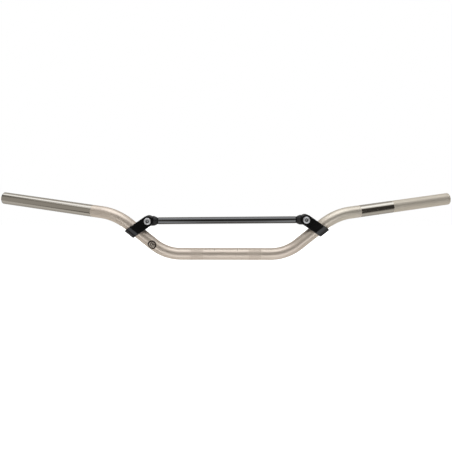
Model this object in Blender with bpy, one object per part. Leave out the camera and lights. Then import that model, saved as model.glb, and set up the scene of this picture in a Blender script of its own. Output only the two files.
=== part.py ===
"""Off-road motorcycle handlebar: a bent alloy tube with a bolted crossbar.

Units are metres and +Z is up.  The origin is the middle of the centre straight, on the tube's own
axis, which is where the two stem clamps hold it.  +X runs along the centre straight, +Y points
backwards to the rider, so the front of the bar is at -Y.
"""

import math

import bmesh
import bpy
from mathutils import Matrix, Vector

MM = 0.001

# ---- main tube ------------------------------------------------------------------------------
TUBE_OD = 22.2 * MM
TUBE_WALL = 4.0 * MM
HALF_CENTRE = 81.5 * MM            # half of the straight that the stem clamps hold
LOWER_BEND_R = 79.5 * MM           # centreline radii
UPPER_BEND_R = 92.4 * MM
LEG_ANGLE = math.radians(38.9)     # slope of the leg above the centre straight
LEG_LENGTH = 57.9 * MM             # straight part of the leg
GRIP_RISE = math.radians(6.8)
GRIP_SWEEP = math.radians(14.2)    # how far the grips point backwards
GRIP_LENGTH = 203.0 * MM
TUBE_END_ROUND = 0.8 * MM
TUBE_SIDES = 32
BEND_STEPS = 8

# ---- crossbar clamps ------------------------------------------------------------------------
GAP = 0.3 * MM                     # kept between any two pieces that touch or run in each other
CLAMP_BELOW_LEG_TOP = 13.7 * MM    # clamp's centre on the tube axis, down from the leg's upper end
CLAMP_SHIFT = 2.2 * MM             # right clamp is bolted this far up its leg, left one down
ARM_SKEW = math.radians(16.0)      # lean of the arm from square to the leg, towards the centre
ARM_WIDTH = 19.6 * MM
PIVOT_STANDOFF = 15.9 * MM         # pivot axis above the tube's surface
CLAMP_SIDE_WALL = 3.1 * MM
CLAMP_BOTTOM_WALL = 2.4 * MM
BEVEL_START = 1.5 * MM             # flat face of the clamp ends this far under the tube's axis
BEVEL_DROP = 6.0 * MM
BEVEL_IN = 1.6 * MM
SOLE_NARROWING = 3.4 * MM          # flat sole is this much narrower than the hole, each side
HALVES_GAP = 1.0 * MM
HOOK_TONGUE = 1.3 * MM             # thin lip of the plain half, held inside the hooked half
HOOK_OVERLAP = math.radians(16.0)  # part of a turn that the lip reaches into the hook
SEAM_GAP = 0.8 * MM
ARC_STEP = math.radians(11.25)

# ---- crossbar -------------------------------------------------------------------------------
CROSSBAR_OD = 12.7 * MM
CROSSBAR_WALL = 2.0 * MM
EYE_OD = 17.8 * MM
EYE_THICKNESS = 11.4 * MM
CONE_START = 1.2 * MM              # measured from the ear's round end, along the crossbar
CONE_LENGTH = 5.6 * MM
RING_LENGTH = 1.3 * MM
SPIGOT_LENGTH = 22.0 * MM          # stretch of the fitting inside the crossbar's tube
ROUND_SIDES = 28

# ---- pivot fasteners ------------------------------------------------------------------------
BOLT_D = 8.0 * MM
HEAD_OD = 12.6 * MM
HEAD_HEIGHT = 4.6 * MM
SOCKET_AF = 6.0 * MM
SOCKET_DEPTH = 3.2 * MM
NUT_AF = 13.0 * MM
NUT_HEIGHT = 6.5 * MM
WASHER = 1.0 * MM
HEAD_POCKET_DEPTH = 4.5 * MM
NUT_POCKET_DEPTH = 4.5 * MM
POCKET_ROOM = 0.5 * MM             # pocket's wall around the head or the nut's corners
BOLT_END = 1.0 * MM                # bolt past the nut
SLEEVE_WALL = 1.0 * MM

# ---- sizes that follow ----------------------------------------------------------------------
TUBE_R = TUBE_OD / 2
HOLE_R = (TUBE_R + GAP) / math.cos(ARC_STEP / 2)
CLAMP_HALF_DEPTH = HOLE_R + CLAMP_SIDE_WALL
SOLE_OFF = HOLE_R + CLAMP_BOTTOM_WALL
PIVOT_OFF = TUBE_R + PIVOT_STANDOFF
EAR_R = ARM_WIDTH / 2
EYE_R = EYE_OD / 2
EAR_INNER = EYE_THICKNESS / 2 + GAP
POCKET_FLOOR = PIVOT_OFF - EYE_R - 2 * GAP
BOLT_R = BOLT_D / 2
BOLT_HOLE_R = BOLT_R + GAP
NUT_CORNER_R = NUT_AF / 2 / math.cos(math.radians(30))
SPIGOT_R = CROSSBAR_OD / 2 - CROSSBAR_WALL - GAP
CONE_END = EAR_R + CONE_START + CONE_LENGTH
RING_START = CONE_END + GAP
ROD_START = RING_START + RING_LENGTH + GAP

LEG_DIR = Vector((math.cos(LEG_ANGLE), 0, math.sin(LEG_ANGLE)))
LEG_NORMAL = Vector((-math.sin(LEG_ANGLE), 0, math.cos(LEG_ANGLE)))
LEG_START = Vector((
    HALF_CENTRE + LOWER_BEND_R * math.sin(LEG_ANGLE),
    0,
    LOWER_BEND_R * (1 - math.cos(LEG_ANGLE)),
))
GRIP_DIR = Vector((
    math.cos(GRIP_RISE) * math.cos(GRIP_SWEEP),
    math.cos(GRIP_RISE) * math.sin(GRIP_SWEEP),
    math.sin(GRIP_RISE),
))
HALF_TURN = Matrix.Rotation(math.pi, 4, "Z")


# ---- helpers --------------------------------------------------------------------------------
def clear_scene():
    for old in list(bpy.data.objects):
        bpy.data.objects.remove(old, do_unlink=True)


def material(name, colour, roughness, metallic):
    finish = bpy.data.materials.new(name)
    finish.use_nodes = True
    shader = finish.node_tree.nodes["Principled BSDF"]
    shader.inputs["Base Color"].default_value = (*colour, 1)
    shader.inputs["Roughness"].default_value = roughness
    shader.inputs["Metallic"].default_value = metallic
    return finish


def finish_mesh(bm, name, smooth=True):
    """Turns a bmesh into a mesh with its faces out and its round parts shaded smooth."""
    bmesh.ops.remove_doubles(bm, verts=bm.verts, dist=1e-7)
    bmesh.ops.recalc_face_normals(bm, faces=bm.faces)
    mesh = bpy.data.meshes.new(name)
    bm.to_mesh(mesh)
    bm.free()
    if smooth:
        mesh.shade_smooth()
        mesh.set_sharp_from_angle(angle=math.radians(35))
    return mesh


def place(name, mesh, frame, finish=None):
    """Makes an object from a mesh, stood in a frame given as a 4 x 4 matrix."""
    made = bpy.data.objects.new(name, mesh)
    bpy.context.collection.objects.link(made)
    made.location = frame.to_translation()
    made.rotation_euler = frame.to_euler()
    if finish is not None:
        made.data.materials.append(finish)
    return made


def attach(children, parent):
    """Parents objects and leaves them where they stand."""
    bpy.context.view_layer.update()
    for child in children:
        child.parent = parent
        child.matrix_parent_inverse = parent.matrix_world.inverted()


def guide(name, mesh, frame, parent):
    """A cutter: an object that is only used by another's Boolean modifier."""
    made = place(name, mesh, frame)
    made.hide_render = True
    made.display_type = "WIRE"
    attach([made], parent)
    return made


def boolean(target, tool, operation):
    cut = target.modifiers.new(f"{operation.lower()} {tool.name}", "BOOLEAN")
    cut.object = tool
    cut.operation = operation
    cut.solver = "EXACT"


def arc(centre, radius, start, end, step=ARC_STEP):
    """Points on an arc in a plane, from one angle to another, both ends included."""
    count = max(1, math.ceil(abs(end - start) / step - 1e-6))
    points = []
    for i in range(count + 1):
        angle = start + (end - start) * i / count
        points.append((centre[0] + radius * math.cos(angle), centre[1] + radius * math.sin(angle)))
    return points


def prism(outline, low, high, lift):
    """Extrudes a flat outline from low to high; lift turns (a, b, along) into a 3-D point."""
    bm = bmesh.new()
    base = [bm.verts.new(lift(a, b, low)) for a, b in outline]
    side = bm.faces.new(base)
    grown = bmesh.ops.extrude_face_region(bm, geom=[side])["geom"]
    tops = [v for v in grown if isinstance(v, bmesh.types.BMVert)]
    bmesh.ops.translate(bm, verts=tops, vec=Vector(lift(0, 0, high)) - Vector(lift(0, 0, low)))
    return bm


def turned(profile, axis, sides=ROUND_SIDES):
    """Spins a profile of (radius, along) points once round an axis through the origin."""
    axis = Vector(axis)
    out = Vector((0, 0, 1))
    bm = bmesh.new()
    verts = [bm.verts.new(out * radius + axis * along) for radius, along in profile]
    edges = [bm.edges.new(pair) for pair in zip(verts, verts[1:])]
    if profile[0][0] > 0:
        edges.append(bm.edges.new((verts[-1], verts[0])))
    bmesh.ops.spin(
        bm, geom=verts + edges, cent=(0, 0, 0), axis=axis, angle=2 * math.pi, steps=sides,
        use_merge=False,
    )
    bmesh.ops.remove_doubles(bm, verts=bm.verts, dist=1e-7)
    return bm


def ring(inner, outer, low, high, axis):
    """A plain washer or sleeve; its inner radius is kept across the flats of its polygon."""
    inner = inner / math.cos(math.pi / ROUND_SIDES)
    return turned([(inner, low), (outer, low), (outer, high), (inner, high)], axis)


def hexagon(across_flats, low, high):
    """A six-sided prism along Y."""
    corner_r = across_flats / 2 / math.cos(math.radians(30))
    corners = [(corner_r * math.cos(k * math.pi / 3), corner_r * math.sin(k * math.pi / 3))
               for k in range(6)]
    return prism(corners, low, high, lambda a, b, y: (a, y, b))


# ---- main tube ------------------------------------------------------------------------------
def tube_section(bm):
    """The tube's wall at X = 0, as a flat ring of faces."""
    rings = []
    for radius in (TUBE_R, TUBE_R - TUBE_WALL):
        angles = [2 * math.pi * k / TUBE_SIDES for k in range(TUBE_SIDES)]
        rings.append([bm.verts.new((0, radius * math.cos(a), radius * math.sin(a)))
                      for a in angles])
    outer, inner = rings
    return [bm.faces.new((outer[k - 1], outer[k], inner[k], inner[k - 1]))
            for k in range(TUBE_SIDES)]


def only(kind, geometry):
    return [g for g in geometry if isinstance(g, kind)]


def pull(bm, faces, offset):
    """Draws the tube's end straight on and returns the new end."""
    grown = bmesh.ops.extrude_face_region(bm, geom=faces)["geom"]
    bmesh.ops.translate(bm, verts=only(bmesh.types.BMVert, grown), vec=offset)
    bmesh.ops.delete(bm, geom=faces, context="FACES")
    return only(bmesh.types.BMFace, grown)


def bend(bm, faces, centre, axis, angle):
    """Bends the tube's end round a centre and returns the new end."""
    turn = bmesh.ops.spin(
        bm, geom=faces, cent=centre, axis=axis, angle=angle, steps=BEND_STEPS, use_merge=False,
    )
    bmesh.ops.delete(bm, geom=faces, context="FACES")
    return only(bmesh.types.BMFace, turn["geom_last"])


def build_main_tube(finish):
    """Half of the tube is drawn out and bent like the real one, then mirrored across X = 0."""
    leg_end = LEG_START + LEG_DIR * LEG_LENGTH
    upper_axis = LEG_DIR.cross(GRIP_DIR).normalized()
    upper_centre = leg_end + upper_axis.cross(LEG_DIR) * UPPER_BEND_R
    bm = bmesh.new()
    end = pull(bm, tube_section(bm), (HALF_CENTRE, 0, 0))
    end = bend(bm, end, (HALF_CENTRE, 0, LOWER_BEND_R), (0, -1, 0), LEG_ANGLE)
    end = pull(bm, end, LEG_DIR * LEG_LENGTH)
    end = bend(bm, end, upper_centre, upper_axis, LEG_DIR.angle(GRIP_DIR))
    end = pull(bm, end, GRIP_DIR * (GRIP_LENGTH - TUBE_END_ROUND))
    end = pull(bm, end, GRIP_DIR * TUBE_END_ROUND)

    rim = {v for face in end for v in face.verts}
    middle = sum((v.co for v in rim), Vector()) / len(rim)
    for vert in rim:
        spoke = vert.co - middle
        if spoke.length > TUBE_R - TUBE_WALL / 2:
            vert.co = middle + spoke * (1 - TUBE_END_ROUND / TUBE_R)

    tube = place("main_tube", finish_mesh(bm, "main_tube"), Matrix.Identity(4), finish)
    mirror = tube.modifiers.new("left half", "MIRROR")
    mirror.use_axis = (True, False, False)
    mirror.merge_threshold = 0.00001
    return tube


# ---- crossbar clamps ------------------------------------------------------------------------
def sole_line():
    """Corners of the clamp's outside, from the flat face round to the sole, as (y, n)."""
    depth = CLAMP_HALF_DEPTH
    return [
        (depth, -BEVEL_START),
        (depth - BEVEL_IN, -BEVEL_START - BEVEL_DROP),
        (HOLE_R - SOLE_NARROWING, -SOLE_OFF),
    ]


def on_line(start, end, n):
    """Point at height n on the line between two (y, n) corners."""
    share = (n - start[1]) / (end[1] - start[1])
    return (start[0] + (end[0] - start[0]) * share, n)


def clamp_half_outlines():
    """Outlines of the two halves across the leg, as (y, n) points round the tube's axis.

    The hooked half reaches under the tube and catches the plain half's thin lip on the far side.
    Angles are measured from +y towards +n.
    """
    top = PIVOT_OFF + EAR_R + GAP
    face, bevel, sole = sole_line()
    part = HALVES_GAP / 2
    part_angle = math.acos(part / HOLE_R)
    seam = bevel[1]
    finger_r = HOLE_R + HOOK_TONGUE + GAP
    lip_r = HOLE_R + HOOK_TONGUE
    finger_start = math.asin((seam - SEAM_GAP) / finger_r)
    lip_start = math.asin(seam / lip_r)
    lip_end = lip_start - HOOK_OVERLAP
    hook_end = lip_end - 2 * GAP / HOLE_R

    def flip(point):
        return (-point[0], point[1])

    hooked = [(-CLAMP_HALF_DEPTH, top), flip(face), flip(bevel), flip(sole), sole]
    hooked.append(on_line(bevel, sole, seam - SEAM_GAP))
    hooked += arc((0, 0), finger_r, finger_start, hook_end)
    hooked += arc((0, 0), HOLE_R, hook_end, -2 * math.pi + math.pi - part_angle)
    hooked += [(-part, POCKET_FLOOR), (-EAR_INNER, POCKET_FLOOR), (-EAR_INNER, top)]

    plain = [(CLAMP_HALF_DEPTH, top), face, bevel]
    plain += arc((0, 0), lip_r, lip_start, lip_end)
    plain += arc((0, 0), HOLE_R, lip_end, part_angle)
    plain += [(part, POCKET_FLOOR), (EAR_INNER, POCKET_FLOOR), (EAR_INNER, top)]
    return hooked, plain


def arm_outline():
    """Outline of the clamp seen along Y, as (u, n): a skewed bar with a round end at the pivot.

    u runs along the leg from the point where the arm crosses the tube's axis.
    """
    pivot = (-PIVOT_OFF * math.tan(ARM_SKEW), PIVOT_OFF)
    points = arc(pivot, EAR_R, ARM_SKEW, ARM_SKEW + math.pi)
    reach = (PIVOT_OFF + SOLE_OFF) / math.cos(ARM_SKEW) + ARM_WIDTH
    down = (math.sin(ARM_SKEW) * reach, -math.cos(ARM_SKEW) * reach)
    points.append((points[-1][0] + down[0], points[-1][1] + down[1]))
    points.append((points[0][0] + down[0], points[0][1] + down[1]))
    return points


def build_clamp_half(name, outline, front, frame, pivot, holder, finish):
    """One half of a clamp: its section along the leg, trimmed to the arm and drilled.

    front is -1 where this half's own ear lies at -y in the clamp's frame and +1 at +y.  The half
    whose ear faces the front of the bar gets the bolt head's pocket, the other one the nut's.
    """
    length = 2 * (ARM_WIDTH + (PIVOT_OFF + SOLE_OFF) * math.tan(ARM_SKEW))
    body = prism(outline, -length / 2, length / 2, lambda y, n, u: (u, y, n))
    half = place(name, finish_mesh(body, name), frame, finish)
    attach([half], holder)

    deep = 2 * CLAMP_HALF_DEPTH
    arm = prism(arm_outline(), -deep, deep, lambda u, n, y: (u, y, n))
    boolean(half, guide(f"{name}_arm", finish_mesh(arm, name), frame, holder), "INTERSECT")

    hole = turned([(0, -deep), (BOLT_HOLE_R, -deep), (BOLT_HOLE_R, deep), (0, deep)], (0, 1, 0))
    boolean(half, guide(f"{name}_hole", finish_mesh(hole, name), pivot, holder), "DIFFERENCE")

    if front < 0:
        radius, depth = HEAD_OD / 2 + POCKET_ROOM, HEAD_POCKET_DEPTH
    else:
        radius, depth = NUT_CORNER_R + POCKET_ROOM, NUT_POCKET_DEPTH
    floor = front * (CLAMP_HALF_DEPTH - depth)
    mouth = front * deep
    sink = turned([(0, floor), (radius, floor), (radius, mouth), (0, mouth)], (0, 1, 0))
    boolean(half, guide(f"{name}_pocket", finish_mesh(sink, name), pivot, holder), "DIFFERENCE")
    return half


# ---- pivot fasteners ------------------------------------------------------------------------
def build_bolt(name, frame, holder, finish):
    """Low-head socket bolt along Y with its head at the front."""
    seat = -CLAMP_HALF_DEPTH + HEAD_POCKET_DEPTH - WASHER - 2 * GAP
    crown = seat - HEAD_HEIGHT
    chamfer = 0.6 * MM
    tip = nut_seat() + NUT_HEIGHT + BOLT_END
    profile = [
        (0, crown),
        (HEAD_OD / 2 - chamfer, crown),
        (HEAD_OD / 2, crown + chamfer),
        (HEAD_OD / 2, seat),
        (BOLT_R, seat),
        (BOLT_R, tip - chamfer),
        (BOLT_R - chamfer, tip),
        (0, tip),
    ]
    bolt = place(name, finish_mesh(turned(profile, (0, 1, 0)), name), frame, finish)
    socket = hexagon(SOCKET_AF, crown - SOCKET_DEPTH, crown + SOCKET_DEPTH)
    attach([bolt], holder)
    boolean(bolt, guide(f"{name}_socket", finish_mesh(socket, name, False), frame, holder),
            "DIFFERENCE")
    return bolt


def nut_seat():
    """Where the nut's flat starts along Y: past the pocket's floor and the washer."""
    return CLAMP_HALF_DEPTH - NUT_POCKET_DEPTH + WASHER + 2 * GAP


def build_nut(name, frame, holder, finish):
    bm = hexagon(NUT_AF, nut_seat(), nut_seat() + NUT_HEIGHT)
    nut = place(name, finish_mesh(bm, name, False), frame, finish)
    attach([nut], holder)
    low = nut_seat() - NUT_HEIGHT
    high = nut_seat() + 2 * NUT_HEIGHT
    drill = turned([(0, low), (BOLT_HOLE_R, low), (BOLT_HOLE_R, high), (0, high)], (0, 1, 0))
    boolean(nut, guide(f"{name}_bore", finish_mesh(drill, name), frame, holder), "DIFFERENCE")
    return nut


def build_washers(side, frame, holder, finish):
    """A washer under the bolt's head and one under the nut, each on its pocket's floor."""
    head_floor = -CLAMP_HALF_DEPTH + HEAD_POCKET_DEPTH - GAP
    nut_floor = CLAMP_HALF_DEPTH - NUT_POCKET_DEPTH + GAP
    washers = (
        ("head_washer", head_floor - WASHER, head_floor, HEAD_OD / 2),
        ("nut_washer", nut_floor, nut_floor + WASHER, NUT_CORNER_R),
    )
    for kind, low, high, outer in washers:
        name = f"{kind}_{side}"
        bm = ring(BOLT_HOLE_R, outer, low, high, (0, 1, 0))
        attach([place(name, finish_mesh(bm, name), frame, finish)], holder)


# ---- crossbar -------------------------------------------------------------------------------
def build_fitting(name, frame, holder, finish):
    """End fitting of the crossbar, turned about X, with the pivot at its origin.

    A ball with two flats sits between the clamp's ears.  A short cone follows, then the spigot
    that fills the crossbar's tube.
    """
    ball = [(EYE_R * math.sin(a), -EYE_R * math.cos(a))
            for a in [k * math.pi / 12 for k in range(7)]]
    ball[0] = (0, -EYE_R)
    rod_r = CROSSBAR_OD / 2
    profile = ball + [
        (EYE_R, EAR_R + CONE_START),
        (rod_r, CONE_END),
        (SPIGOT_R, CONE_END),
        (SPIGOT_R, ROD_START + SPIGOT_LENGTH),
        (0, ROD_START + SPIGOT_LENGTH),
    ]
    fitting = place(name, finish_mesh(turned(profile, (1, 0, 0)), name), frame, finish)
    attach([fitting], holder)
    shoulder = EAR_R + 2 * GAP
    for label, low, high in (("front", -EYE_R - GAP, -EYE_THICKNESS / 2),
                             ("rear", EYE_THICKNESS / 2, EYE_R + GAP)):
        flat = [(-EYE_OD, -EYE_OD), (shoulder, -EYE_OD), (shoulder, EYE_OD), (-EYE_OD, EYE_OD)]
        bm = prism(flat, low, high, lambda a, b, y: (a, y, b))
        tool = guide(f"{name}_{label}_flat", finish_mesh(bm, name, False), frame, holder)
        boolean(fitting, tool, "DIFFERENCE")
    eye_r = BOLT_HOLE_R + SLEEVE_WALL + GAP
    drill = turned([(0, -EYE_OD), (eye_r, -EYE_OD), (eye_r, EYE_OD), (0, EYE_OD)], (0, 1, 0))
    boolean(fitting, guide(f"{name}_eye", finish_mesh(drill, name), frame, holder), "DIFFERENCE")
    return fitting


def build_crossbar(pivots, holder, finishes):
    """Tube, two end fittings, their dark rings and the sleeves pressed into the eyes."""
    left, right = pivots
    span = (right - left).length
    tilt = Matrix.Rotation(-math.atan2(right.z - left.z, right.x - left.x), 4, "Y")
    middle = Matrix.Translation((left + right) / 2) @ tilt
    half = span / 2 - ROD_START
    bm = ring(CROSSBAR_OD / 2 - CROSSBAR_WALL, CROSSBAR_OD / 2, -half, half, (1, 0, 0))
    rod = place("crossbar_tube", finish_mesh(bm, "crossbar_tube"), middle, finishes["gloss"])
    attach([rod], holder)
    for side, pivot, turn in (("left", left, Matrix.Identity(4)), ("right", right, HALF_TURN)):
        frame = Matrix.Translation(pivot) @ tilt @ turn
        build_fitting(f"crossbar_end_{side}", frame, holder, finishes["satin"])
        band = ring(SPIGOT_R + GAP, CROSSBAR_OD / 2 - GAP, RING_START, RING_START + RING_LENGTH,
                    (1, 0, 0))
        name = f"crossbar_ring_{side}"
        attach([place(name, finish_mesh(band, name), frame, finishes["rubber"])], holder)
        sleeve = ring(BOLT_HOLE_R, BOLT_HOLE_R + SLEEVE_WALL, -EYE_THICKNESS / 2,
                      EYE_THICKNESS / 2, (0, 1, 0))
        name = f"pivot_sleeve_{side}"
        attach([place(name, finish_mesh(sleeve, name), frame, finishes["steel"])], holder)


# ---- whole bar ------------------------------------------------------------------------------
def clamp_frame(side):
    """Frame on the leg's axis where the arm crosses it: X along the leg and Z off its top.

    The left clamp is the right one turned half round, so its X and its Y point the other way.
    """
    shift = CLAMP_SHIFT if side == "right" else -CLAMP_SHIFT
    along = LEG_LENGTH - CLAMP_BELOW_LEG_TOP + shift
    axes = Matrix((LEG_DIR, (0, 1, 0), LEG_NORMAL)).transposed().to_4x4()
    frame = Matrix.Translation(LEG_START + LEG_DIR * along) @ axes
    return frame if side == "right" else HALF_TURN @ frame


def axis_marker(name, frame):
    marker = place(name, None, frame)
    marker.empty_display_size = ARM_WIDTH
    return marker


def main():
    clear_scene()
    finishes = {
        "tube": material("champagne anodised alloy", (0.62, 0.56, 0.50), 0.34, 1.0),
        "clamp": material("black forged alloy", (0.012, 0.012, 0.013), 0.45, 0.0),
        "gloss": material("black gloss alloy", (0.02, 0.02, 0.02), 0.2, 0.0),
        "satin": material("black satin alloy", (0.035, 0.035, 0.037), 0.5, 0.0),
        "steel": material("zinc plated steel", (0.6, 0.61, 0.62), 0.3, 1.0),
        "rubber": material("black rubber", (0.008, 0.008, 0.008), 0.8, 0.0),
    }
    tube = build_main_tube(finishes["tube"])
    hooked, plain = clamp_half_outlines()
    arm_top = Vector((-PIVOT_OFF * math.tan(ARM_SKEW), 0, PIVOT_OFF))
    pivots = []
    for side in ("left", "right"):
        frame = clamp_frame(side)
        holder = axis_marker(f"clamp_{side}_slide", frame)
        attach([holder], tube)
        pivot = frame @ arm_top
        pivots.append(pivot)
        upright = Matrix.Translation(pivot)
        front_outline, rear_outline = (hooked, plain) if side == "right" else (plain, hooked)
        for place_name, outline, front in (("front", front_outline, -1), ("rear", rear_outline, 1)):
            build_clamp_half(f"clamp_{side}_{place_name}", outline, front, frame, upright, holder,
                             finishes["clamp"])
        build_bolt(f"pivot_bolt_{side}", upright, holder, finishes["steel"])
        build_nut(f"pivot_nut_{side}", upright, holder, finishes["steel"])
        build_washers(side, upright, holder, finishes["steel"])
    swing = axis_marker("crossbar_pivot", Matrix.Translation(pivots[0]))
    attach([swing], bpy.data.objects["clamp_left_slide"])
    build_crossbar(pivots, swing, finishes)


main()
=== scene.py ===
"""Looks of an off-road motorcycle handlebar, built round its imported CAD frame.

Units are metres.  +X runs along the centre straight, +Y points back to the rider, +Z is up.
"""

import math

import bmesh
import bpy
import numpy as np
from bpy.props import FloatProperty, FloatVectorProperty, PointerProperty
from bpy.types import NodeSocket, Operator, Panel, PropertyGroup, Scene
from mathutils import Matrix, Vector


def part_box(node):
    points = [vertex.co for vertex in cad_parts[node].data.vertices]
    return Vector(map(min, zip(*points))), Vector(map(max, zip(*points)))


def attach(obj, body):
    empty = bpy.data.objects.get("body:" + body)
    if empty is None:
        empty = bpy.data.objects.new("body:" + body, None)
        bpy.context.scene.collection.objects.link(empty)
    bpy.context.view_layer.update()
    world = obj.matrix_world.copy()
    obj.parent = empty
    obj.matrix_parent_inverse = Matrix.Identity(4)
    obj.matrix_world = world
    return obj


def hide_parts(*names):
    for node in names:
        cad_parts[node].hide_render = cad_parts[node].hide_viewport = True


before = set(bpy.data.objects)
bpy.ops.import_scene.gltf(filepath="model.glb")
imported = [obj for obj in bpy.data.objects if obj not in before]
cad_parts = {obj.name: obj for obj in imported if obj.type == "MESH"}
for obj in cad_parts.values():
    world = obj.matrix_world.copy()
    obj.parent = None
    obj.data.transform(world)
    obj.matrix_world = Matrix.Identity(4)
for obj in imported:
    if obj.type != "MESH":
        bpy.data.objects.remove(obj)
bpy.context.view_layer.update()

bl_info = {
    "name": "Off-road handlebar",
    "version": (1, 0, 0),
    "blender": (4, 5, 0),
    "location": "View3D > Sidebar > Handlebar",
    "description": "Builds a bent alloy handlebar with its crossbar, clamps and bolts",
    "category": "Add Mesh",
}

MM = 0.001
TURN = 2 * math.pi
GAP = 0.3 * MM  # room that the CAD pieces keep between each other
INSET = 0.06 * MM  # how far the tube's skin keeps inside the solid's box


# ---- sizes read from the frame ----
def box_centre(node):
    low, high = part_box(node)
    return (low + high) / 2


def box_size(node):
    low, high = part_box(node)
    return high - low


TUBE_R = -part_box("main_tube")[0].z
SIDES = {"left": -1, "right": 1}
PIVOT = {side: box_centre(f"pivot_bolt_{side}") * Vector((1, 0, 1)) for side in SIDES}
BAR_TILT = math.atan2(PIVOT["right"].z - PIVOT["left"].z, PIVOT["right"].x - PIVOT["left"].x)


# ---- settings that a user can change ----
def length(name, description, millimetres):
    return FloatProperty(name=name, description=description, default=millimetres * MM,
                         unit="LENGTH", subtype="DISTANCE", precision=5)


def angle(name, description, degrees):
    return FloatProperty(name=name, description=description, default=math.radians(degrees),
                         unit="ROTATION", subtype="ANGLE")


def colour(name, description, value):
    return FloatVectorProperty(name=name, description=description, default=value, size=3,
                               min=0, max=1, subtype="COLOR")


class TubeSettings(PropertyGroup):
    half_centre: length("Half centre", "Half of the straight between the bends", 81.5)
    lower_bend: length("Lower bend", "Centreline radius of the bend at the centre", 79.5)
    upper_bend: length("Upper bend", "Centreline radius of the bend under the grip", 92.4)
    leg_angle: angle("Leg angle", "Slope of the leg above the centre straight", 38.9)
    leg_length: length("Leg", "Straight part of the leg", 57.9)
    grip_rise: angle("Grip rise", "Slope of the grip", 6.8)
    grip_sweep: angle("Grip sweep", "How far the grip points backwards", 14.2)
    grip_length: length("Grip", "Straight length from the upper bend to the tip", 203.0)
    wall: length("Wall", "Thickness of the tube's wall", 4.0)
    polish_length: length("Polished stretch", "Polished stretch of the grip, from the tip", 184.4)
    knurl_length: length("Grip knurl", "Roughened stretch at the clutch-side tip", 118.4)
    stem_knurl_centre: length("Stem knurl", "Distance of a stem knurl from the middle", 52.5)
    stem_knurl_width: length("Stem knurl width", "Width of a stem knurl", 21.9)
    satin: colour("Satin", "Blasted and anodised alloy", (0.93, 0.81, 0.69))
    satin_clutch_side: colour("Satin at the clutch side", "Slightly yellower anodising there",
                              (0.90, 0.825, 0.70))
    polished: colour("Polished", "Polished and anodised alloy", (0.66, 0.62, 0.55))
    print_ink: colour("Print", "Printed marks on the tube", (0.018, 0.010, 0.006))


class ClampSettings(PropertyGroup):
    arm_skew: angle("Arm skew", "Lean of the arm from square to the leg", 16.0)
    arm_width: length("Arm width", "Width of the clamp's arm", 19.6)
    standoff: length("Pivot standoff", "Pivot above the tube's surface", 15.9)
    side_wall: length("Side wall", "Wall beside the tube", 3.1)
    sole_wall: length("Sole wall", "Wall under the tube", 2.4)
    edge_round: length("Edge", "Rounding of the outer edges", 0.9)
    black: colour("Black", "Black anodised forging", (0.003, 0.003, 0.0032))


class CrossbarSettings(PropertyGroup):
    wall: length("Wall", "Wall of the crossbar's tube", 2.0)
    eye: length("Eye", "Diameter of the end fitting's eye", 17.8)
    eye_thickness: length("Eye thickness", "Thickness between the clamp's ears", 11.4)
    gloss: colour("Gloss", "Gloss black tube", (0.003, 0.003, 0.003))
    satin: colour("Satin", "Satin black end fitting", (0.022, 0.022, 0.023))
    rubber: colour("Rubber", "Rubber ring", (0.004, 0.004, 0.004))


class FastenerSettings(PropertyGroup):
    socket: length("Socket", "Hexagon socket, across flats", 6.0)
    socket_depth: length("Socket depth", "Depth of the hexagon socket", 3.2)
    thread_pitch: length("Thread", "Pitch of the pivot bolt's thread", 1.25)
    zinc: colour("Zinc", "Bright zinc plating", (0.90, 0.91, 0.93))


class StageSettings(PropertyGroup):
    camera_distance: length("Camera distance", "In front of the bar", 1092.1)
    camera_height: length("Camera height", "Above the tube's axis", 135.5)
    camera_aside: length("Camera aside", "To the clutch side of the middle", -1.1)
    camera_tilt: angle("Camera tilt", "Upwards from straight down", 85.58)
    camera_pan: angle("Camera pan", "Left of straight ahead", -0.06)
    camera_roll: angle("Camera roll", "About the line of sight", 0.106)
    lens: FloatProperty(name="Lens", description="Focal length for a 36 mm sensor, in mm",
                        default=47.99)
    floor_drop: length("Floor", "How far under the bar the floor lies", 420.0)
    floor: colour("Floor", "Pale floor and backdrop", (1.0, 1.0, 1.0))


# ---- mesh helpers ----
def placed(name, data):
    """A new object in the scene."""
    made = bpy.data.objects.new(name, data)
    bpy.context.scene.collection.objects.link(made)
    return made


def show(name, mesh, material, body, replaces=()):
    """Stands a finished mesh in the scene, riding on a CAD body."""
    piece = placed(name, mesh)
    mesh.materials.clear()
    mesh.materials.append(material)
    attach(piece, body)
    if replaces:
        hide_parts(*replaces)
    return piece


def grid_mesh(name, points, wrap_rows=False, uv=None):
    """Skins a grid of points.  Columns close on themselves, and rows do if wrap_rows is set.

    points has the shape (rows, columns, 3).  uv gives the two coordinates at each grid line, as
    (per row, per column + 1), so that the seam has its own value on each side.
    """
    rows, columns = points.shape[:2]
    row = np.arange(rows if wrap_rows else rows - 1)[:, None]
    column = np.arange(columns)[None, :]
    next_row, next_column = (row + 1) % rows, (column + 1) % columns
    faces = np.stack([
        row * columns + column, row * columns + next_column,
        next_row * columns + next_column, next_row * columns + column,
    ], axis=-1).reshape(-1, 4)
    mesh = bpy.data.meshes.new(name)
    mesh.vertices.add(rows * columns)
    mesh.vertices.foreach_set("co", points.reshape(-1).astype(np.float32))
    mesh.loops.add(faces.size)
    mesh.loops.foreach_set("vertex_index", faces.reshape(-1).astype(np.int32))
    mesh.polygons.add(len(faces))
    mesh.polygons.foreach_set("loop_start", np.arange(0, faces.size, 4, dtype=np.int32))
    mesh.update(calc_edges=True)
    if uv is not None:
        along, around = uv
        corners = np.empty((len(row), columns, 4, 2), np.float32)
        corners[..., 0] = along[row + [0, 0, 1, 1]][:, None]
        corners[..., 1] = around[column.T + [0, 1, 1, 0]]
        mesh.uv_layers.new(name="surface").data.foreach_set("uv", corners.reshape(-1))
    mesh.validate()
    mesh.shade_smooth()
    return mesh


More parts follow.
